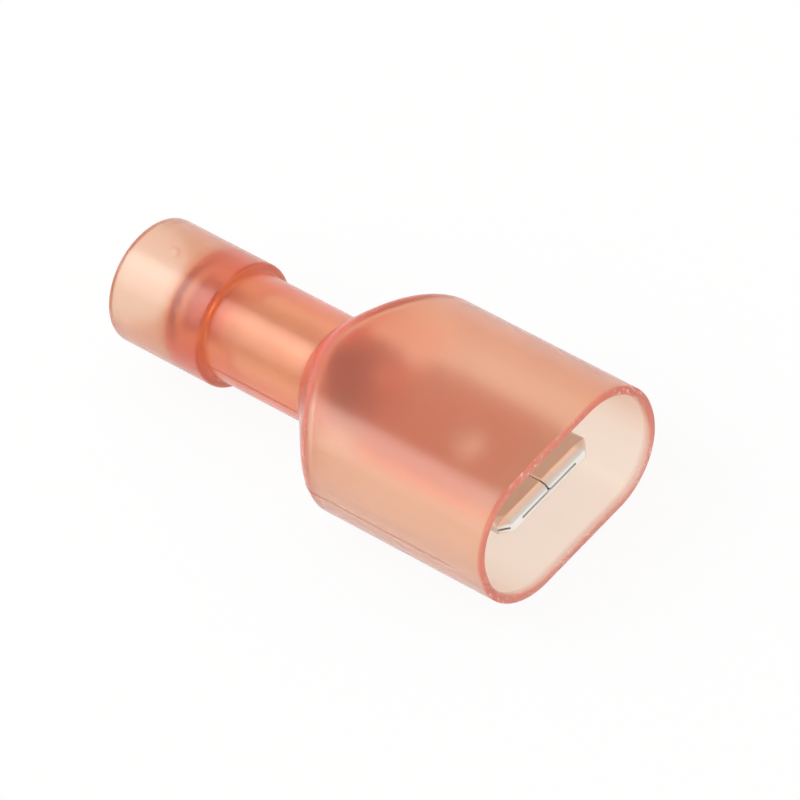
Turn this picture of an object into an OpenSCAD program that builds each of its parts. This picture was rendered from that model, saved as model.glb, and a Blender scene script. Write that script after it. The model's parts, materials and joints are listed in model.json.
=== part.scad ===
// Fully insulated male spade terminal.
// A moulded nylon housing holds a terminal rolled and folded from one brass strip.
// X runs along the terminal and points out of the hood's mouth, and Z is up.
// The part lies on the flat underside of its hood, with the origin on the table under its middle.

/* [Hood] */
// Width across the oval hood
hood_w = 12; // [11:0.1:14]
// Thickness over the hood's two flats
hood_t = 7; // [6.6:0.1:8.4]
// Radius of the oval's corners
hood_corner_r = 3.4; // [2.4:0.1:3.4]
// Length from the root of the shoulder to the mouth
hood_l = 14.2; // [13.4:0.1:17]
// Wall of the hood and of its shoulder
hood_wall = 0.45; // [0.35:0.05:0.7]
// Angle between the conical shoulder and the axis
shoulder_angle = 45; // [38:1:55]
// Radius on the edges of the mouth's rim
rim_r = 0.12; // [0.05:0.01:0.16]

/* [Barrel and bell] */
// Diameter of the nylon barrel over the crimp
barrel_d = 5.4; // [4.8:0.1:5.8]
// Length of the nylon barrel, from the step to the root of the shoulder
barrel_l = 6; // [5:0.1:8]
// Diameter of the bell that takes the wire
bell_d = 6.25; // [6.1:0.05:6.6]
// Length of the bell, from its lip to the step
bell_l = 5.8; // [5:0.1:7.5]
// Diameter of the bell's bore, for the wire's insulation
entry_d = 5.1; // [4.2:0.1:5.4]
// Depth of the bell's bore
entry_l = 3.4; // [2.4:0.1:4]
// Thickness of the tapered ledge that the crimp barrel seats on
ledge_t = 0.35; // [0.25:0.05:0.6]
// Radius on the bell's outer edges
bell_edge_r = 0.18; // [0.1:0.01:0.22]
// Fillet between the barrel and the step
step_fillet_r = 0.14; // [0.05:0.01:0.14]
// Diameter of the moulding gate's mark on top of the bell
gate_d = 0.7; // [0.4:0.1:1.2]
// Depth of the gate's mark
gate_depth = 0.08; // [0.04:0.01:0.14]
// Distance of the gate's mark from the bell's lip
gate_from_lip = 2.2; // [1.2:0.1:3.6]

/* [Terminal] */
// Thickness of the brass strip
strip_t = 0.38; // [0.3:0.01:0.45]
// Gap between the two folded layers of the tab
fold_gap = 0.04; // [0.02:0.01:0.06]
// Width of the tab
tab_w = 6.3; // [4.8:0.1:6.8]
// Length of the folded tab
tab_l = 10; // [8:0.1:10.4]
// Distance of the tab's tip behind the mouth
tab_inset = 1.25; // [0.6:0.05:2]
// Distance of the tab's middle below the axis
tab_drop = 0.4; // [0:0.05:0.6]
// Corner cut at each side of the tip
tip_corner = 0.6; // [0.3:0.05:1]
// Length of the coined bevel round the tip
tip_bevel_l = 0.46; // [0.2:0.02:0.6]
// Thickness left at the tip's edge
tip_edge_t = 0.52; // [0.4:0.02:0.6]
// Gap between the layers at the tip's edges, where they spring apart
tip_gap = 0.12; // [0.06:0.01:0.16]
// Depth of that gap behind the edges
tip_gap_l = 0.36; // [0.2:0.02:0.5]
// Length of the tip's edge that coining presses shut beside each corner
tip_shut_l = 0.7; // [0.3:0.05:1]
// Corner cut at each side of the tab's root
root_corner = 0.9; // [0.4:0.1:1.2]
// Diameter of the detent hole through the tab
hole_d = 1.7; // [1.4:0.1:2.2]
// Distance of the detent hole from the tip
hole_from_tip = 4.8; // [3.6:0.1:5.6]
// Gap of the seam along the tab and the crimp barrel
seam_gap = 0.06; // [0.04:0.01:0.1]
// Width of the flare where the tab's seam opens at the tip
flare_w = 0.24; // [0.12:0.02:0.4]
// Inside diameter of the crimp barrel
crimp_d = 2.1; // [1.7:0.1:3]
// Distance of the crimp barrel's front end behind the root of the shoulder
crimp_back = 0.55; // [0:0.05:0.55]
// Width of the strip where the neck meets the tab
neck_w = 4.4; // [3.2:0.1:4.8]

/* [Fits] */
// Clearance between the crimp barrel and the nylon round it
fit_gap = 0.03; // [0.01:0.01:0.06]
// Clearance of the ledge's hole round the crimp barrel's bore
ledge_gap = 0.14; // [0.05:0.01:0.2]

/* [Hidden] */
$fn = 96;
over = 1;

// Stations along X
overall_l = hood_l + barrel_l + bell_l;
x_mouth = overall_l / 2;
x_root = x_mouth - hood_l;
x_step = x_root - barrel_l;
x_lip = x_step - bell_l;
x_floor = x_lip + entry_l;
x_seat = x_floor + ledge_t;
x_tip = x_mouth - tab_inset;
x_tab_root = x_tip - tab_l;
x_crimp_end = x_root - crimp_back;

// Heights and radii
z_axis = hood_t / 2;
barrel_r = barrel_d / 2;
bell_r = bell_d / 2;
entry_r = entry_d / 2;
crimp_r = crimp_d / 2;
crimp_outer_r = crimp_r + strip_t;
socket_r = crimp_outer_r + fit_gap;
ledge_r = crimp_r + ledge_gap;
corner_r = min(hood_corner_r, hood_t / 2 - rim_r / 2);
reach_r = hood_w / 2 + over;

// Folded tab, measured from its own middle
tab_t = 2 * strip_t + fold_gap;
z_tab = z_axis - tab_drop;
fold_reach = tab_w / 2 - strip_t - fold_gap / 2;

// Neck: the strip starts as a full roll and opens out flat, a little thinner than the strip at each face
neck_skin = 0.02;
neck_t = strip_t - 2 * neck_skin;
neck_lap = 0.4;
neck_steps = 14;
neck_spans = 28;
roll_r = crimp_r + strip_t / 2;
roll_half_angle = 180 - (seam_gap / 2 + neck_skin) / roll_r * 180 / PI;
flat_half_angle = 1;
z_roll = z_axis - roll_r;
z_flat = z_tab - tab_t / 2 + strip_t / 2;

// Turns a shape drawn in radius and length into a solid of revolution about the part's axis
module turned() {
    translate([0, 0, z_axis])
        rotate([0, 90, 0])
            rotate_extrude()
                children();
}

// Square bar of the turned section, from the axis out to a radius
module turned_bar(r, from, to) {
    translate([0, from])
        square([r, to - from]);
}

// Waste outside a rounded corner, with the corner at a point and the solid lying towards -sx and -sy
module round_off(point, r, sx, sy) {
    difference() {
        translate(point - [sx > 0 ? r : over, sy > 0 ? r : over])
            square(r + over);
        translate(point - r * [sx, sy])
            circle(r);
    }
}

// Oval section of the hood, seen along the axis, drawn in by a distance
module oval(inset) {
    half_w = hood_w / 2 - corner_r;
    half_t = hood_t / 2 - corner_r;
    r = corner_r - inset;
    square([2 * half_w, 2 * (half_t + r)], center = true);
    square([2 * (half_w + r), 2 * half_t], center = true);
    for (sy = [-1, 1], sz = [-1, 1])
        translate([sy * half_w, sz * half_t])
            circle(r);
}

// Oval bar along the axis between two stations
module oval_bar(inset, from, to) {
    translate([from, 0, z_axis])
        rotate([90, 0, 90])
            linear_extrude(to - from)
                oval(inset);
}

// Sweeps a section round the oval: four turned corners and the straight runs between them
module oval_sweep() {
    half_w = hood_w / 2 - corner_r;
    half_t = hood_t / 2 - corner_r;
    corners = [[half_w, half_t, 0], [-half_w, half_t, 90], [-half_w, -half_t, 180], [half_w, -half_t, 270]];
    runs = [2 * half_w, 2 * half_t, 2 * half_w, 2 * half_t];
    translate([0, 0, z_axis])
        rotate([90, 0, 90])
            for (i = [0:3]) {
                translate([corners[i][0], corners[i][1], 0])
                    rotate(corners[i][2]) {
                        rotate_extrude(angle = 90)
                            children();
                        rotate(90)
                            rotate([90, 0, 0])
                                translate([0, 0, -runs[i]])
                                    linear_extrude(runs[i])
                                        children();
                    }
            }
}

// Outside of the housing before it is trimmed to the oval: bell, step, barrel and cone
module outer_turning() {
    cone_l = (reach_r - barrel_r) / tan(shoulder_angle);
    difference() {
        union() {
            turned_bar(bell_r, x_lip, x_step);
            turned_bar(barrel_r, x_step - over, x_root + over);
            polygon([
                [0, x_root],
                [barrel_r, x_root],
                [reach_r, x_root + cone_l],
                [reach_r, x_mouth - rim_l],
                [0, x_mouth - rim_l]
            ]);
            translate([barrel_r, x_step])
                difference() {
                    translate([-over, -over])
                        square(step_fillet_r + over);
                    translate([step_fillet_r, step_fillet_r])
                        circle(step_fillet_r);
                }
        }
        round_off([bell_r, x_lip], bell_edge_r, 1, -1);
        round_off([bell_r, x_step], bell_edge_r, 1, 1);
    }
}

// Inside of the housing before it is trimmed to the oval: entry, ledge, socket and cone
module inner_turning() {
    cone_start = x_root + hood_wall / sin(shoulder_angle) - (barrel_r - socket_r) / tan(shoulder_angle);
    cone_l = (reach_r - socket_r) / tan(shoulder_angle);
    polygon([
        [0, x_lip - over],
        [entry_r, x_lip - over],
        [entry_r, x_floor],
        [ledge_r + ledge_t, x_floor],
        [ledge_r, x_seat],
        [socket_r, x_seat],
        [socket_r, cone_start],
        [reach_r, cone_start + cone_l],
        [reach_r, x_mouth + over],
        [0, x_mouth + over]
    ]);
}

// Rim at the mouth, with both of its edges rounded
rim_l = 2 * rim_r;
module rim_section() {
    translate([corner_r - hood_wall, x_mouth - rim_l])
        difference() {
            square([hood_wall, rim_l]);
            round_off([hood_wall, rim_l], rim_r, 1, 1);
            round_off([0, rim_l], rim_r, -1, 1);
        }
}

// Nylon housing: a turned form trimmed to the oval, hollowed by a smaller one
module housing() {
    color([0.9, 0.52, 0.44, 0.7]) {
        difference() {
            intersection() {
                turned()
                    outer_turning();
                oval_bar(0, x_lip - over, x_mouth);
            }
            intersection() {
                turned()
                    inner_turning();
                oval_bar(hood_wall, x_lip - 2 * over, x_mouth + 2 * over);
            }
            translate([x_lip + gate_from_lip, 0, z_axis + bell_r - gate_depth])
                cylinder(h = over, d = gate_d);
        }
        oval_sweep()
            rim_section();
    }
}

// Keeps what lies behind a coined edge at a distance along a direction in plan
module coined_edge(direction, distance) {
    slope = tip_bevel_l / (tab_t / 2 - tip_edge_t / 2);
    back = slope * (tab_t - tip_edge_t / 2);
    rotate(direction)
        rotate([90, 0, 0])
            linear_extrude(2 * tab_l, center = true)
                polygon([
                    [-2 * tab_l, -tab_t],
                    [distance - back, -tab_t],
                    [distance, -tip_edge_t / 2],
                    [distance, tip_edge_t / 2],
                    [distance - back, tab_t],
                    [-2 * tab_l, tab_t]
                ]);
}

// Section of the folded tab, with a round fold at each side
module tab_section() {
    square([tab_w - tab_t, tab_t], center = true);
    for (side = [-1, 1])
        translate([side * (tab_w - tab_t) / 2, 0])
            circle(d = tab_t);
}

// Gap between the layers and up through the seam
module fold_section() {
    square([2 * fold_reach, fold_gap], center = true);
    for (side = [-1, 1])
        translate([side * fold_reach, 0])
            circle(d = fold_gap);
    translate([-seam_gap / 2, 0])
        square([seam_gap, tab_t]);
}

// Gap where the layers stand open along one edge of the tip
module open_edge(direction, distance, along, length) {
    mouth = tip_gap * (tip_gap_l + over) / tip_gap_l;
    rotate(direction)
        translate([0, along, 0])
            rotate([90, 0, 0])
                linear_extrude(length, center = true)
                    polygon([
                        [distance - tip_gap_l, 0],
                        [distance + over, -mouth / 2],
                        [distance + over, mouth / 2]
                    ]);
}

// Tab with its tip at the origin: two layers, coined tip, detent hole and seam
module tab() {
    tip_half = tab_w / 2 - tip_corner;
    corner_distance = tip_half * cos(45);
    corner_along = (tip_half + tip_corner) * cos(45);
    difference() {
        intersection() {
            translate([-tab_l, 0, 0])
                rotate([90, 0, 90])
                    linear_extrude(tab_l)
                        tab_section();
            coined_edge(0, 0);
            coined_edge(45, corner_distance);
            coined_edge(-45, corner_distance);
            linear_extrude(2 * tab_t, center = true)
                polygon([
                    [over, -tab_w],
                    [root_corner - tab_l, -tab_w / 2],
                    [-tab_l, root_corner - tab_w / 2],
                    [-tab_l, tab_w / 2 - root_corner],
                    [root_corner - tab_l, tab_w / 2],
                    [over, tab_w]
                ]);
        }
        translate([-tab_l - over, 0, 0])
            rotate([90, 0, 90])
                linear_extrude(tab_l + over - tip_gap_l / 2)
                    fold_section();
        open_edge(0, 0, 0, 2 * (tip_half - tip_shut_l));
        for (side = [-1, 1])
            open_edge(45 * side, corner_distance, side * corner_along, tip_corner);
        translate([-hole_from_tip, 0, 0])
            cylinder(h = 2 * tab_t, d = hole_d, center = true);
        linear_extrude(tab_t)
            polygon([[-flare_w, 0], [over, -over / 2], [over, over / 2]]);
    }
}

// Rolled crimp barrel with its butt seam on top
module crimp_barrel() {
    difference() {
        translate([x_seat, 0, z_axis])
            rotate([0, 90, 0])
                cylinder(h = x_crimp_end - x_seat, r = crimp_outer_r);
        translate([x_seat - over, 0, z_axis])
            rotate([0, 90, 0])
                cylinder(h = x_crimp_end - x_seat + 2 * over, r = crimp_r);
        translate([x_seat - over, -seam_gap / 2, z_axis])
            cube([x_crimp_end - x_seat + 2 * over, seam_gap, 2 * crimp_outer_r]);
    }
}

function blend(from, to, share) = from + (to - from) * share;
function ease(share) = share * share * (3 - 2 * share);

// One point of the unrolling strip: share runs from the barrel to the tab, across runs over the strip's width,
// and offset is the distance outwards from the middle of the strip's thickness
function neck_point(share, across, offset) =
    let (
        opened = ease(share),
        half_angle = blend(roll_half_angle, flat_half_angle, opened),
        width = blend(2 * roll_r * roll_half_angle * PI / 180, neck_w, opened),
        bend_r = width / (2 * half_angle * PI / 180),
        z_bottom = blend(z_roll, z_flat, opened),
        turn = across * half_angle
    )
    [(bend_r + offset) * sin(turn), z_bottom + bend_r - (bend_r + offset) * cos(turn)];

// Outline of the strip at one station, out along its lower face and back along its upper face
function neck_outline(share) = concat(
    [for (i = [0:neck_spans]) neck_point(share, 2 * i / neck_spans - 1, neck_t / 2)],
    [for (i = [neck_spans:-1:0]) neck_point(share, 2 * i / neck_spans - 1, -neck_t / 2)]
);

// Neck: the strip opens from the crimp barrel's roll to the tab's flat lower layer
module neck() {
    around = 2 * (neck_spans + 1);
    stations = concat(
        [[x_crimp_end - neck_lap, 0]],
        [for (k = [0:neck_steps]) [blend(x_crimp_end, x_tab_root, k / neck_steps), k / neck_steps]],
        [[x_tab_root + neck_lap, 1]]
    );
    last = len(stations) - 1;
    points = [for (s = stations) for (p = neck_outline(s[1])) [s[0], p[0], p[1]]];
    sides = [
        for (k = [0:last - 1])
            for (i = [0:around - 1])
                let (
                    a = k * around + i,
                    b = k * around + (i + 1) % around
                )
                each [[a, a + around, b], [b, a + around, b + around]]
    ];
    ends = [
        for (i = [0:neck_spans - 1])
            let (
                back = around - 1 - i,
                front = last * around
            )
            each [
                [i, i + 1, back],
                [i + 1, back - 1, back],
                [front + i, front + back, front + i + 1],
                [front + i + 1, front + back, front + back - 1]
            ]
    ];
    polyhedron(points = points, faces = concat(sides, ends));
}

// Brass terminal: crimp barrel, neck and folded tab in one piece of strip
module terminal() {
    color([0.8, 0.77, 0.72]) {
        crimp_barrel();
        neck();
        translate([x_tip, 0, z_tab])
            tab();
    }
}

housing();
terminal();
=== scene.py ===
import json
import math

import bmesh
import bpy
from mathutils import Matrix, Vector


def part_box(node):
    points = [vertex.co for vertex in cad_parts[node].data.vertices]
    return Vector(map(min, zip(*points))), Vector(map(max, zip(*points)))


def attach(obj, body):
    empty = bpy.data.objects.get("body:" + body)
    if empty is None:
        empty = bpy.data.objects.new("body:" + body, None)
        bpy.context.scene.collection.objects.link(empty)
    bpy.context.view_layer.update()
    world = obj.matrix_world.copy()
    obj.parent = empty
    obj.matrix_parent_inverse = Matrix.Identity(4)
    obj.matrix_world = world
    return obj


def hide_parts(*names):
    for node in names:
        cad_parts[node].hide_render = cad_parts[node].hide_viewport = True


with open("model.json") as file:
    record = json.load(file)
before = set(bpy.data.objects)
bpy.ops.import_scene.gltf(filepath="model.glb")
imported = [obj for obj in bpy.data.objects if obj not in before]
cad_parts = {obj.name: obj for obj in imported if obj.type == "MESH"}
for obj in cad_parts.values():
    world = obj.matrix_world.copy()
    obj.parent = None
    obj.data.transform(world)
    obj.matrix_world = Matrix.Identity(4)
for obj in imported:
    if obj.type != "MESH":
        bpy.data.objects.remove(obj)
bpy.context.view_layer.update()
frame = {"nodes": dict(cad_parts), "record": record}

# Terminal
# One strip of brass, stamped, rolled into a crimp barrel, folded double into the tab and coined at its tip.
# It is tin plated after stamping, so its cut edges are bright too. The barrel is pressed into the nylon.

MM = 0.001
mounts = {mount["name"]: mount for mount in frame["record"]["mounts"]}
X_TIP = mounts["tab"]["pos_m"][0]
CRIMP_R = mounts["crimp_barrel"]["dims"]["r_mm"] * MM
CRIMP_L = mounts["crimp_barrel"]["dims"]["length_mm"] * MM
X_CRIMP_END = mounts["crimp_barrel"]["pos_m"][0] + CRIMP_L / 2
NECK_L = 3.5 * MM
COINED_L = 0.46 * MM
COINED_FADE = 0.06 * MM
COINED_FALL = 0.12 * MM
CROWN_STRENGTH = 1.0
SHOWN_L = 1.3 * MM
SHOWN_FADE = 1.6 * MM
# Bright tin: on the coined tip partly from coining and partly a painted highlight, and in the gaps behind
# the tip a painted glint.
COINED_AND_GLINT_TIN = (0.93, 0.90, 0.84, 1)
TIN = (0.73, 0.69, 0.65, 1)
# Painted light and shade on one tin: the tab's rose tone is painted shade and a painted red reflection of
# the hood, and the crimp barrel's pale tone is a painted highlight.
TAB_SHADE_AND_REFLECTION = (0.77, 0.53, 0.45, 1)
CRIMP_HIGHLIGHT_TIN = (0.98, 0.85, 0.75, 1)
DULL_TIN = (0.72, 0.66, 0.60, 1)
DULL_SHARE = 0.35
TIN_ROUGH = 0.34
PATCH_ROUGH = 0.10
CRIMP_ROUGH = 0.66
PATCHES_PER_M = 900
PATCH_LOW = 0.35
PATCH_HIGH = 0.75
ROLLED_LINES_PER_M = (300, 14000, 14000)
ROLLED_DEPTH = 0.01 * MM
ROLLED_STRENGTH = 0.12
EDGE_R = 0.12 * MM
# Painted shade for the tin's gaps, where ambient occlusion finds them shut in.
GAP_SHADE = (0.06, 0.055, 0.05, 1)
CREVICE_REACH = 0.3 * MM
CREVICE_SHUT = 0.25
CREVICE_OPEN = 0.55


def new_material(name):
    """An empty node material, with its node tree, Principled shader and output"""
    material = bpy.data.materials.new(name)
    material.use_nodes = True
    nodes = material.node_tree.nodes
    nodes.clear()
    shader = nodes.new("ShaderNodeBsdfPrincipled")
    output = nodes.new("ShaderNodeOutputMaterial")
    material.node_tree.links.new(shader.outputs["BSDF"], output.inputs["Surface"])
    return material, material.node_tree, shader, output


def part_place(tree):
    """Places on the part in metres, as a vector and split into X, Y and Z"""
    place = tree.nodes.new("ShaderNodeTexCoord").outputs["Object"]
    split = tree.nodes.new("ShaderNodeSeparateXYZ")
    tree.links.new(place, split.inputs["Vector"])
    return place, split.outputs


def noise_at(tree, place, per_metre=1.0):
    """Cloudy noise over the part, with so many clouds per metre"""
    node = tree.nodes.new("ShaderNodeTexNoise")
    node.inputs["Scale"].default_value = per_metre
    tree.links.new(place, node.inputs["Vector"])
    return node.outputs["Fac"]


def ranged(tree, value, start, end, at_start=0.0, at_end=1.0):
    """A value mapped from one range to another and held at its ends"""
    node = tree.nodes.new("ShaderNodeMapRange")
    node.inputs["From Min"].default_value = start
    node.inputs["From Max"].default_value = end
    node.inputs["To Min"].default_value = at_start
    node.inputs["To Max"].default_value = at_end
    tree.links.new(value, node.inputs["Value"])
    return node.outputs["Result"]


def worked(tree, operation, first, second=0.0):
    """The result of one operation on two values, each a number or a socket"""
    node = tree.nodes.new("ShaderNodeMath")
    node.operation = operation
    for socket, value in zip(node.inputs, (first, second)):
        if isinstance(value, (int, float)):
            socket.default_value = value
        else:
            tree.links.new(value, socket)
    return node.outputs["Value"]


def product(tree, first, *others):
    """The product of several shares, each a number or a socket"""
    for other in others:
        first = worked(tree, "MULTIPLY", first, other)
    return first


def blended(tree, share, first, second):
    """Two colours mixed by a share, each a colour or a socket"""
    node = tree.nodes.new("ShaderNodeMix")
    node.data_type = "RGBA"
    colours = [socket for socket in node.inputs if socket.type == "RGBA"]
    for socket, colour in zip(colours, (first, second)):
        if isinstance(colour, tuple):
            socket.default_value = colour
        else:
            tree.links.new(colour, socket)
    tree.links.new(share, node.inputs["Factor"])
    return next(socket for socket in node.outputs if socket.type == "RGBA")


def bumped(tree, height, strength, distance):
    """A bump node over a height"""
    node = tree.nodes.new("ShaderNodeBump")
    node.inputs["Strength"].default_value = strength
    node.inputs["Distance"].default_value = distance
    tree.links.new(height, node.inputs["Height"])
    return node


def surface_grain():
    """Node group for the fine relief of a rolled or moulded surface: noise drawn out along each axis"""
    group = bpy.data.node_groups.new("surface_grain", "ShaderNodeTree")
    wanted = ("Place", "Per metre")
    for name in wanted:
        group.interface.new_socket(name, in_out="INPUT", socket_type="NodeSocketVector")
    group.interface.new_socket("Height", in_out="OUTPUT", socket_type="NodeSocketFloat")
    given = group.nodes.new("NodeGroupInput")
    drawn_out = group.nodes.new("ShaderNodeVectorMath")
    drawn_out.operation = "MULTIPLY"
    for name, socket in zip(wanted, drawn_out.inputs):
        group.links.new(given.outputs[name], socket)
    relief = noise_at(group, drawn_out.outputs["Vector"])
    group.links.new(relief, group.nodes.new("NodeGroupOutput").inputs["Height"])
    return group


grain = surface_grain()


def grained(tree, place, per_metre, strength, depth):
    """A bump of surface grain, with its own count of marks per metre along X, Y and Z"""
    node = tree.nodes.new("ShaderNodeGroup")
    node.node_tree = grain
    node.inputs["Per metre"].default_value = per_metre
    tree.links.new(place, node.inputs["Place"])
    return bumped(tree, node.outputs["Height"], strength, depth)


def tin_plate():
    """Tin with painted light and shade: a painted highlight pales the barrel, painted shade and a painted
    red reflection make the tab rosy, the coined tip is brightest, partly as a painted highlight, and gaps
    hold painted shade at the tip and a painted glint behind it
    """
    material, tree, shader, _ = new_material("tin_plate")
    place, spot = part_place(tree)
    along = spot["X"]

    on_tab = ranged(tree, along, X_CRIMP_END, X_CRIMP_END + NECK_L)
    shown = ranged(tree, along, X_TIP - SHOWN_L - SHOWN_FADE, X_TIP - SHOWN_L)
    coined = ranged(tree, along, X_TIP - COINED_L - COINED_FADE, X_TIP - COINED_L)
    patches = ranged(tree, noise_at(tree, place, PATCHES_PER_M), PATCH_LOW, PATCH_HIGH)
    dull = product(tree, patches, DULL_SHARE)
    # Painted light and shade: a painted highlight on the crimp barrel, painted shade and red reflection on
    # the tab under the hood, plain tin where the mouth shows it.
    tone = blended(tree, shown, blended(tree, on_tab, CRIMP_HIGHLIGHT_TIN, TAB_SHADE_AND_REFLECTION), TIN)
    # The coined tip's bright tone is partly from coining and partly a painted highlight.
    tone = blended(tree, coined, blended(tree, dull, tone, DULL_TIN), COINED_AND_GLINT_TIN)
    # Painted shade darkens the gaps at the tip, found by ambient occlusion; behind the tip the same gaps
    # get a painted glint of bright tin.
    gap_shade_ao = tree.nodes.new("ShaderNodeAmbientOcclusion")
    gap_shade_ao.inputs["Distance"].default_value = CREVICE_REACH
    gap_shade_ao.only_local = True
    clear = ranged(tree, gap_shade_ao.outputs["AO"], CREVICE_SHUT, CREVICE_OPEN)
    gap_shade_and_glint = blended(tree, coined, COINED_AND_GLINT_TIN, GAP_SHADE)
    tree.links.new(blended(tree, clear, gap_shade_and_glint, tone), shader.inputs["Base Color"])

    rough = ranged(tree, on_tab, 0, 1, CRIMP_ROUGH, TIN_ROUGH)
    uneven = product(tree, patches, PATCH_ROUGH)
    tree.links.new(worked(tree, "ADD", rough, uneven), shader.inputs["Roughness"])
    shader.inputs["Metallic"].default_value = 1.0

    softened = tree.nodes.new("ShaderNodeBevel")
    softened.inputs["Radius"].default_value = EDGE_R
    past_coin = ranged(tree, along, X_TIP - COINED_L, X_TIP)
    crowned = bumped(tree, product(tree, past_coin, past_coin), CROWN_STRENGTH, COINED_FALL)
    crowned.invert = True
    lines = grained(tree, place, ROLLED_LINES_PER_M, ROLLED_STRENGTH, ROLLED_DEPTH)
    tree.links.new(softened.outputs["Normal"], crowned.inputs["Normal"])
    tree.links.new(crowned.outputs["Normal"], lines.inputs["Normal"])
    tree.links.new(lines.outputs["Normal"], shader.inputs["Normal"])
    return material


terminal = frame["nodes"]["terminal"]
terminal.data.materials.clear()
terminal.data.materials.append(tin_plate())

# Housing
# One injection moulding of translucent nylon with a salmon-red dye: bell, barrel, shoulder and oval hood.
# Its mould halves meet at mid height and leave a fine line there. A gate on the bell let the nylon in.

low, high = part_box("housing")
X_LIP, X_MOUTH = low.x, high.x
HOOD_W, HOOD_T = high.y - low.y, high.z - low.z
Z_AXIS = (low.z + high.z) / 2
HOOD_CORNER_R = 3.4 * MM
HOOD_L = 14.2 * MM
HOOD_WALL = 0.45 * MM
SHOULDER_ANGLE = math.radians(45)
SHOULDER_EDGE = 0.5 * MM
SHOULDER_L = 4.2 * MM
# Share of the rim's red edge colour and pale flecks that the shoulder's edge takes.
SHOULDER_MARK_SHARE = 0.8
RIM_R = 0.12 * MM
BARREL_R = 2.7 * MM
BARREL_L = 6.0 * MM
BELL_R = 3.125 * MM
BELL_EDGE_R = 0.18 * MM
STEP_FILLET_R = 0.14 * MM
FLOOR_FILLET_R = 0.2 * MM
SMALL_R = 0.05 * MM
CRIMP_WALL = 0.38 * MM
FIT_GAP = 0.03 * MM
LEDGE_GAP = 0.14 * MM
LEDGE_T = 0.35 * MM
ENTRY_R = mounts["wire_entry"]["dims"]["r_mm"] * MM
ENTRY_L = mounts["wire_entry"]["dims"]["length_mm"] * MM
SOCKET_R = CRIMP_R + CRIMP_WALL + FIT_GAP
LEDGE_R = CRIMP_R + LEDGE_GAP
X_ROOT = X_MOUTH - HOOD_L
X_STEP = X_ROOT - BARREL_L
X_FLOOR = X_LIP + ENTRY_L
X_SEAT = X_FLOOR + LEDGE_T
GATE_BACK = 2.2 * MM
GATE_X = X_LIP + GATE_BACK
GATE_R = 0.35 * MM
GATE_DEPTH = 0.08 * MM
GATE_FLATNESS = 4
STUB_R = 0.14 * MM
STUB_H = 0.07 * MM
STUB_FLATNESS = 2
PARTING_H = 0.03 * MM
PARTING_TURN = 0.008
PARTING_CLEAR = 2.0 * MM
CLEAR_R = 7.4 * MM
FINE = 0.09 * MM
COARSE = 0.3 * MM
ARC_STEPS = 5
AROUND = 220


def rounded_path(corners):
    """Points along rounded corners (x, r, radius, spacing), spaced so on the stretch up to each one"""
    path = []
    for i, (x, r, radius, spacing) in enumerate(corners):
        here = Vector((x, r))
        if radius == 0:
            path.append((here, spacing))
            continue
        back = (Vector(corners[i - 1][:2]) - here).normalized()
        ahead = (Vector(corners[i + 1][:2]) - here).normalized()
        half = back.angle(ahead) / 2
        reach = radius / math.tan(half)
        centre = here + (back + ahead).normalized() * radius / math.sin(half)
        first = (here + back * reach - centre).normalized()
        last = (here + ahead * reach - centre).normalized()
        for k in range(ARC_STEPS + 1):
            path.append((centre + first.slerp(last, k / ARC_STEPS) * radius, spacing))
    dense = []
    for (a, _), (b, spacing) in zip(path, path[1:]):
        count = max(1, math.ceil((b - a).length / spacing))
        dense += [a.lerp(b, k / count) for k in range(count)]
    return dense + [path[-1][0]]


def oval_radius(angle, inset):
    """Distance from the axis to the hood's oval in one direction, with the oval drawn in by an inset"""
    half_w, half_t = HOOD_W / 2 - HOOD_CORNER_R, HOOD_T / 2 - HOOD_CORNER_R
    r = HOOD_CORNER_R - inset
    c, s = abs(math.cos(angle)), abs(math.sin(angle))
    along = c * half_w + s * half_t
    on_corner = along + math.sqrt(max(along ** 2 - half_w ** 2 - half_t ** 2 + r ** 2, 0))
    if on_corner * c < half_w:
        return (half_t + r) / s
    if on_corner * s < half_t:
        return (half_w + r) / c
    return on_corner


def soft_least(a, b, blend):
    """The smaller of two distances, rounded off where they cross"""
    share = max(blend - abs(a - b), 0) / blend
    return min(a, b) - share * share * blend / 4


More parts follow.
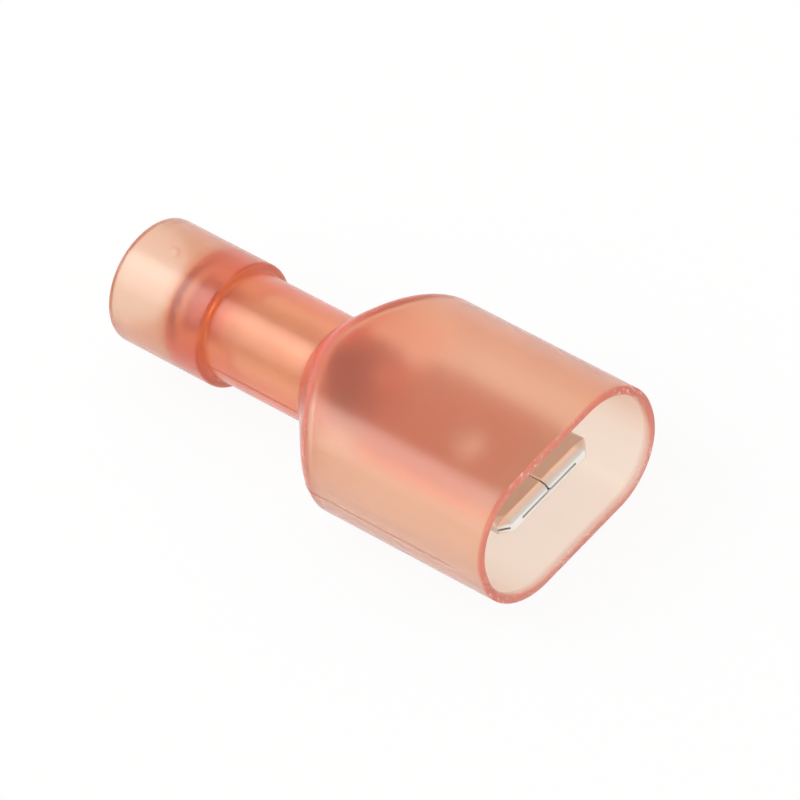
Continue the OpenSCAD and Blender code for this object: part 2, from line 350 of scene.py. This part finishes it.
def housing_rings():
    """(x, turned radius, inset, inside, edge) of each ring, along the outside and back along the bore"""
    cone = 1 / math.tan(SHOULDER_ANGLE)
    lip_r = (ENTRY_R + BELL_R) / 2
    outer = rounded_path([
        (X_LIP, lip_r, 0, FINE),
        (X_LIP, BELL_R, BELL_EDGE_R, COARSE),
        (GATE_X - GATE_R, BELL_R, 0, COARSE),
        (GATE_X + GATE_R, BELL_R, 0, FINE),
        (X_STEP, BELL_R, BELL_EDGE_R, COARSE),
        (X_STEP, BARREL_R, STEP_FILLET_R, COARSE),
        (X_ROOT, BARREL_R, SMALL_R, COARSE),
        (X_ROOT + SHOULDER_L, BARREL_R + SHOULDER_L / cone, 0, FINE),
        (X_ROOT + (CLEAR_R - BARREL_R) * cone, CLEAR_R, 0, FINE),
        (X_MOUTH - RIM_R, CLEAR_R, 0, COARSE),
    ])
    shift = HOOD_WALL / math.sin(SHOULDER_ANGLE)
    cone_root = X_ROOT + shift - (BARREL_R - SOCKET_R) * cone
    inner = rounded_path([
        (X_MOUTH - RIM_R, CLEAR_R, 0, COARSE),
        (cone_root + (CLEAR_R - SOCKET_R) * cone, CLEAR_R, 0, COARSE),
        (cone_root, SOCKET_R, SMALL_R, FINE),
        (X_SEAT, SOCKET_R, SMALL_R, COARSE),
        (X_SEAT, LEDGE_R, SMALL_R, COARSE),
        (X_FLOOR, LEDGE_R + LEDGE_T, SMALL_R, COARSE),
        (X_FLOOR, ENTRY_R, FLOOR_FILLET_R, COARSE),
        (X_LIP, ENTRY_R, SMALL_R, COARSE),
        (X_LIP, lip_r, 0, FINE),
    ])
    rim = []
    for k in range(1, ARC_STEPS + 1):
        turn = k / ARC_STEPS * math.pi / 2
        rim.append((X_MOUTH - RIM_R * (1 - math.sin(turn)), RIM_R * (1 - math.cos(turn))))
    rim += [(x, HOOD_WALL - inset) for x, inset in reversed(rim)]
    outside = [(p.x, p.y, 0.0, 0.0, 0.0) for p in outer]
    across_rim = [(x, CLEAR_R, inset, 0.0, 1.0) for x, inset in rim]
    return outside + across_rim + [(p.x, p.y, HOOD_WALL, 1.0, 0.0) for p in inner[1:-1]]


def ring_angles():
    """Angles of a ring's points, with three close together at each side, where the mould halves meet"""
    step = 2 * math.pi / AROUND
    angles = [step * k for k in range(AROUND)]
    for side in (0, math.pi):
        angles += [side - PARTING_TURN, side + PARTING_TURN]
    return sorted(angle % (2 * math.pi) for angle in angles)


def moulding_mark(x, r, angle):
    """How far the gate's dimple and stub and the line between the mould halves move the skin out"""
    from_gate = math.hypot(x - GATE_X, r * math.cos(angle)) if math.sin(angle) > 0 else GATE_R
    dimple = max(1 - (from_gate / GATE_R) ** GATE_FLATNESS, 0) * GATE_DEPTH
    stub = max(1 - (from_gate / STUB_R) ** STUB_FLATNESS, 0) * STUB_H
    on_line = abs(math.sin(angle)) < PARTING_TURN / 2 and X_STEP < x < X_MOUTH - PARTING_CLEAR
    return stub - dimple + (PARTING_H if on_line else 0)


def housing_mesh():
    """The moulding's skin as a closed grid of rings, with its inside and edges marked at the points"""
    mesh = bmesh.new()
    inside = mesh.verts.layers.float.new("inside")
    edge = mesh.verts.layers.float.new("edge")
    angles = ring_angles()
    rings = []
    for x, turned, inset, within, on_rim in housing_rings():
        ring = []
        for angle in angles:
            oval = oval_radius(angle, inset)
            r = soft_least(turned, oval, SHOULDER_EDGE)
            if not within and not on_rim:
                r += moulding_mark(x, r, angle)
            vertex = mesh.verts.new((x, r * math.cos(angle), Z_AXIS + r * math.sin(angle)))
            vertex[inside] = within
            on_shoulder = 0 if within else max(1 - abs(turned - oval) / SHOULDER_EDGE, 0) * SHOULDER_MARK_SHARE
            vertex[edge] = max(on_rim, on_shoulder)
            ring.append(vertex)
        rings.append(ring)
    for a, b in zip(rings, rings[1:] + rings[:1]):
        for k in range(len(angles)):
            n = (k + 1) % len(angles)
            mesh.faces.new((a[k], a[n], b[n], b[k]))
    bmesh.ops.recalc_face_normals(mesh, faces=mesh.faces)
    for face in mesh.faces:
        face.smooth = True
    data = bpy.data.meshes.new("nylon_housing")
    mesh.to_mesh(data)
    mesh.free()
    return data


# One dyed nylon, tinted by zone as painted light and shade: painted shade deepens the step, the hood's
# upper half and most of all the hood over the neck, while the barrel and the lower hood stay pale.
BELL_NYLON = (0.91, 0.73, 0.57, 1)
STEP_SHADE_NYLON = (0.83, 0.50, 0.32, 1)
BARREL_NYLON = (1.0, 0.94, 0.80, 1)
UPPER_SHADE_NYLON = (1.0, 0.74, 0.58, 1)
NECK_SHADE_NYLON = (1.0, 0.58, 0.43, 1)
LOWER_NYLON = (1.0, 0.97, 0.89, 1)
PARTING_NYLON = (0.80, 0.42, 0.32, 1)
STEP_FADE = 0.4 * MM
HOOD_FADE = 0.6 * MM
UPPER_H = 3.4 * MM
UPPER_DEPTH = 2.0 * MM
REAR_L = 5.2 * MM
REAR_FADE = 2.0 * MM
REAR_W = 7.0 * MM
REAR_SIDE_FADE = 1.6 * MM
PARTING_W = 0.04 * MM
PARTING_FADE = 2.0 * MM
PARTING_SHARE = 0.45
PIGMENT = (1.0, 0.28, 0.22, 1)
PIGMENT_SHARE = 0.05
EDGE_PIGMENT = 0.42
SCUFF = (1.0, 0.86, 0.82, 1)
SCUFF_SHARE = 0.7
WORN_PER_M = 450
WORN_LOW = 0.40
WORN_HIGH = 0.58
SCUFFS_PER_M = 6000
SCUFF_LOW = 0.55
SCUFF_HIGH = 0.63
NYLON_IOR = 1.36
OUTER_ROUGH = 0.45
INNER_ROUGH = 0.08
SKIN_ROUGH = 0.27
SKIN_IOR = 1.5
RIPPLES_PER_M = (1500, 1500, 1500)
RIPPLE_DEPTH = 0.02 * MM
RIPPLE_STRENGTH = 0.15
DYE = (0.999, 0.47, 0.10, 1)
DYE_DENSITY = 420.0


def marked(tree, name):
    """A share that the mesh holds at its points"""
    node = tree.nodes.new("ShaderNodeAttribute")
    node.attribute_name = name
    return node.outputs["Fac"]


def nylon_tint(tree, spot, outside):
    """Painted light and shade as a tint by zone: pale bell, a step deepened by painted shade, clear barrel,
    and a hood painted darker above as shade, deepest over the neck
    """
    along, across, up = spot["X"], spot["Y"], spot["Z"]
    past_floor = ranged(tree, along, X_FLOOR - STEP_FADE, X_FLOOR + STEP_FADE)
    past_step = ranged(tree, along, X_STEP, X_STEP + STEP_FADE)
    in_hood = ranged(tree, along, X_ROOT, X_ROOT + HOOD_FADE)
    upper = ranged(tree, up, Z_AXIS - UPPER_DEPTH, Z_AXIS + UPPER_H)
    at_rear = ranged(tree, along, X_ROOT + REAR_L, X_ROOT + REAR_L + REAR_FADE, 1, 0)
    from_middle = worked(tree, "ABSOLUTE", across)
    at_middle = ranged(tree, from_middle, REAR_W / 2 - REAR_SIDE_FADE, REAR_W / 2, 1, 0)
    shaded_hood_top = blended(tree, product(tree, at_rear, at_middle), UPPER_SHADE_NYLON, NECK_SHADE_NYLON)
    colour = blended(tree, past_floor, BELL_NYLON, STEP_SHADE_NYLON)
    colour = blended(tree, past_step, colour, BARREL_NYLON)
    colour = blended(tree, in_hood, colour, blended(tree, upper, LOWER_NYLON, shaded_hood_top))

    line_end = X_MOUTH - PARTING_CLEAR
    before_mouth = ranged(tree, along, line_end - PARTING_FADE, line_end, 1, 0)
    from_parting = worked(tree, "ABSOLUTE", worked(tree, "SUBTRACT", up, Z_AXIS))
    on_parting = ranged(tree, from_parting, PARTING_W / 2, PARTING_W, PARTING_SHARE, 0)
    line = product(tree, outside, past_step, before_mouth, on_parting)
    return blended(tree, line, colour, PARTING_NYLON)


def edge_pigment(tree, place, edge):
    """The pigment that shows most at the edges, where scuffs whiten it, and the share of it"""
    scratches = ranged(tree, noise_at(tree, place, SCUFFS_PER_M), SCUFF_LOW, SCUFF_HIGH)
    worn = ranged(tree, noise_at(tree, place, WORN_PER_M), WORN_LOW, WORN_HIGH)
    scuffs = product(tree, scratches, worn, edge)
    pigment = tree.nodes.new("ShaderNodeBsdfDiffuse")
    tree.links.new(blended(tree, scuffs, PIGMENT, SCUFF), pigment.inputs["Color"])
    share = ranged(tree, edge, 0, 1, PIGMENT_SHARE, EDGE_PIGMENT)
    return pigment, worked(tree, "MAXIMUM", share, product(tree, scuffs, SCUFF_SHARE))


def layered(tree, share, under, over, output):
    """Two shaders mixed by a share, as what the surface shows"""
    mix = tree.nodes.new("ShaderNodeMixShader")
    tree.links.new(share, mix.inputs["Fac"])
    for shader, socket in zip((under, over), mix.inputs[1:]):
        tree.links.new(shader.outputs[0], socket)
    tree.links.new(mix.outputs["Shader"], output.inputs["Surface"])


def dyed_nylon():
    """Translucent nylon, frosted outside under a glossy skin, with a dye that deepens with its thickness"""
    material, tree, shader, output = new_material("dyed_nylon")
    place, spot = part_place(tree)
    within = marked(tree, "inside")
    outside = worked(tree, "SUBTRACT", 1, within)

    tree.links.new(nylon_tint(tree, spot, outside), shader.inputs["Base Color"])
    tree.links.new(ranged(tree, within, 0, 1, OUTER_ROUGH, INNER_ROUGH), shader.inputs["Roughness"])
    tree.links.new(outside, shader.inputs["Coat Weight"])
    shader.inputs["Coat Roughness"].default_value = SKIN_ROUGH
    shader.inputs["Coat IOR"].default_value = SKIN_IOR
    shader.inputs["IOR"].default_value = NYLON_IOR
    shader.inputs["Transmission Weight"].default_value = 1.0
    ripples = grained(tree, place, RIPPLES_PER_M, RIPPLE_STRENGTH, RIPPLE_DEPTH)
    tree.links.new(ripples.outputs["Normal"], shader.inputs["Normal"])

    pigment, share = edge_pigment(tree, place, marked(tree, "edge"))
    layered(tree, share, shader, pigment, output)
    dye = tree.nodes.new("ShaderNodeVolumeAbsorption")
    dye.inputs["Color"].default_value = DYE
    dye.inputs["Density"].default_value = DYE_DENSITY
    tree.links.new(dye.outputs["Volume"], output.inputs["Volume"])
    return material


housing = bpy.data.objects.new("nylon_housing", housing_mesh())
bpy.context.scene.collection.objects.link(housing)
housing.data.materials.append(dyed_nylon())
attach(housing, "root")
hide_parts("housing")

# Table and light
# A plain white table that shows as white, a warm white room that is dimmer overhead, and three soft boxes.
# The largest stands behind the bell at the left, a small one fills in beside it, and one hangs above.

TABLE_SIZE = 1.2
TABLE_GAP = 0.02 * MM
TABLE_WHITE = (0.95, 0.95, 0.95, 1)
TABLE_ROUGH = 0.9
SEEN_WHITE = {"Is Camera Ray": 0.92, "Is Transmission Ray": 1.0, "Is Glossy Ray": 1.0}
SEEN_SKY = (1.0, 1.0, 1.0, 1)
SKY_COLOUR = (1.0, 0.95, 0.92, 1)
SKY_LOW = 1.0
SKY_HIGH = 0.55
LEFT_BOX_PLACE = (-0.175, -0.126, 0.21)
LEFT_BOX_SIZE = 0.24
LEFT_BOX_POWER = 0.32
FILL_BOX_PLACE = (-0.171, -0.062, 0.240)
FILL_BOX_SIZE = 0.14
FILL_BOX_POWER = 0.11
TOP_BOX_PLACE = (0.0, 0.09, 0.285)
TOP_BOX_SIZE = 0.2
TOP_BOX_POWER = 0.08


def white_table():
    """Matt white that the camera, reflections and light through the nylon see as white"""
    material, tree, shader, output = new_material("white_table")
    shader.inputs["Base Color"].default_value = TABLE_WHITE
    shader.inputs["Roughness"].default_value = TABLE_ROUGH
    shader.inputs["Specular IOR Level"].default_value = 0.0
    white = tree.nodes.new("ShaderNodeEmission")
    path = tree.nodes.new("ShaderNodeLightPath")
    share = 0.0
    for ray, part in SEEN_WHITE.items():
        share = worked(tree, "ADD", share, product(tree, path.outputs[ray], part))
    layered(tree, share, shader, white, output)
    return material


def white_room():
    """A world that the camera sees as white, and whose light falls off from the horizon to the zenith"""
    world = bpy.data.worlds.new("white_room")
    world.use_nodes = True
    tree = world.node_tree
    room = tree.nodes["Background"]
    seen = tree.nodes.new("ShaderNodeLightPath").outputs["Is Camera Ray"]
    tree.links.new(blended(tree, seen, SKY_COLOUR, SEEN_SKY), room.inputs["Color"])
    split = tree.nodes.new("ShaderNodeSeparateXYZ")
    tree.links.new(tree.nodes.new("ShaderNodeTexCoord").outputs["Generated"], split.inputs["Vector"])
    fall_off = ranged(tree, split.outputs["Z"], 0, 1, SKY_LOW, SKY_HIGH)
    tree.links.new(worked(tree, "MAXIMUM", seen, fall_off), room.inputs["Strength"])
    return world


def soft_box(name, place, size, power):
    """A square area lamp aimed at the middle of the part"""
    lamp = bpy.data.lights.new(name, "AREA")
    lamp.shape = "SQUARE"
    lamp.size = size
    lamp.energy = power
    box = bpy.data.objects.new(name, lamp)
    box.location = place
    aim = Vector((0, 0, Z_AXIS)) - Vector(place)
    box.rotation_euler = aim.to_track_quat("-Z", "Y").to_euler()
    bpy.context.scene.collection.objects.link(box)


table_mesh = bpy.data.meshes.new("table")
half_table = TABLE_SIZE / 2
table_sides = ((-1, -1), (1, -1), (1, 1), (-1, 1))
table_corners = [(x * half_table, y * half_table, -TABLE_GAP) for x, y in table_sides]
table_mesh.from_pydata(table_corners, [], [range(len(table_corners))])
table_mesh.materials.append(white_table())
table = bpy.data.objects.new("table", table_mesh)
bpy.context.scene.collection.objects.link(table)
bpy.context.scene.world = white_room()
soft_box("left_box", LEFT_BOX_PLACE, LEFT_BOX_SIZE, LEFT_BOX_POWER)
soft_box("fill_box", FILL_BOX_PLACE, FILL_BOX_SIZE, FILL_BOX_POWER)
soft_box("top_box", TOP_BOX_PLACE, TOP_BOX_SIZE, TOP_BOX_POWER)

# Camera
# A long lens, high in front of the mouth and to one side, turned about its own axis as the photograph is.
# Light may bounce often, because it passes several walls of nylon on its way out.

CAMERA_AZIMUTH = math.radians(55.416)
CAMERA_ELEVATION = math.radians(46.266)
CAMERA_ROLL = math.radians(-18.781)
CAMERA_DISTANCE = 454.0 * MM
CAMERA_AIM = Vector((3.269, -0.305, 4.697)) * MM
LENS_MM = 450.0
SENSOR_MM = 36.0
CLIP_NEAR = 0.05
CLIP_FAR = 10.0
NYLON_BOUNCES = 32
OTHER_BOUNCES = 16

right = Vector((math.cos(CAMERA_AZIMUTH), math.sin(CAMERA_AZIMUTH), 0))
away = Vector((math.sin(CAMERA_AZIMUTH), -math.cos(CAMERA_AZIMUTH), 0))
back = away * math.cos(CAMERA_ELEVATION) + Vector((0, 0, math.sin(CAMERA_ELEVATION)))
rolled_right = right * math.cos(CAMERA_ROLL) + back.cross(right) * math.sin(CAMERA_ROLL)
turn = Matrix((rolled_right, back.cross(rolled_right), back)).transposed().to_4x4()
lens = bpy.data.cameras.new("camera")
lens.sensor_width = SENSOR_MM
lens.lens = LENS_MM
lens.clip_start = CLIP_NEAR
lens.clip_end = CLIP_FAR
camera = bpy.data.objects.new("camera", lens)
camera.matrix_world = Matrix.Translation(CAMERA_AIM + back * CAMERA_DISTANCE) @ turn
scene = bpy.context.scene
scene.collection.objects.link(camera)
scene.camera = camera
scene.view_settings.view_transform = "Standard"
scene.cycles.max_bounces = NYLON_BOUNCES
scene.cycles.transmission_bounces = NYLON_BOUNCES
scene.cycles.glossy_bounces = OTHER_BOUNCES
scene.cycles.diffuse_bounces = OTHER_BOUNCES
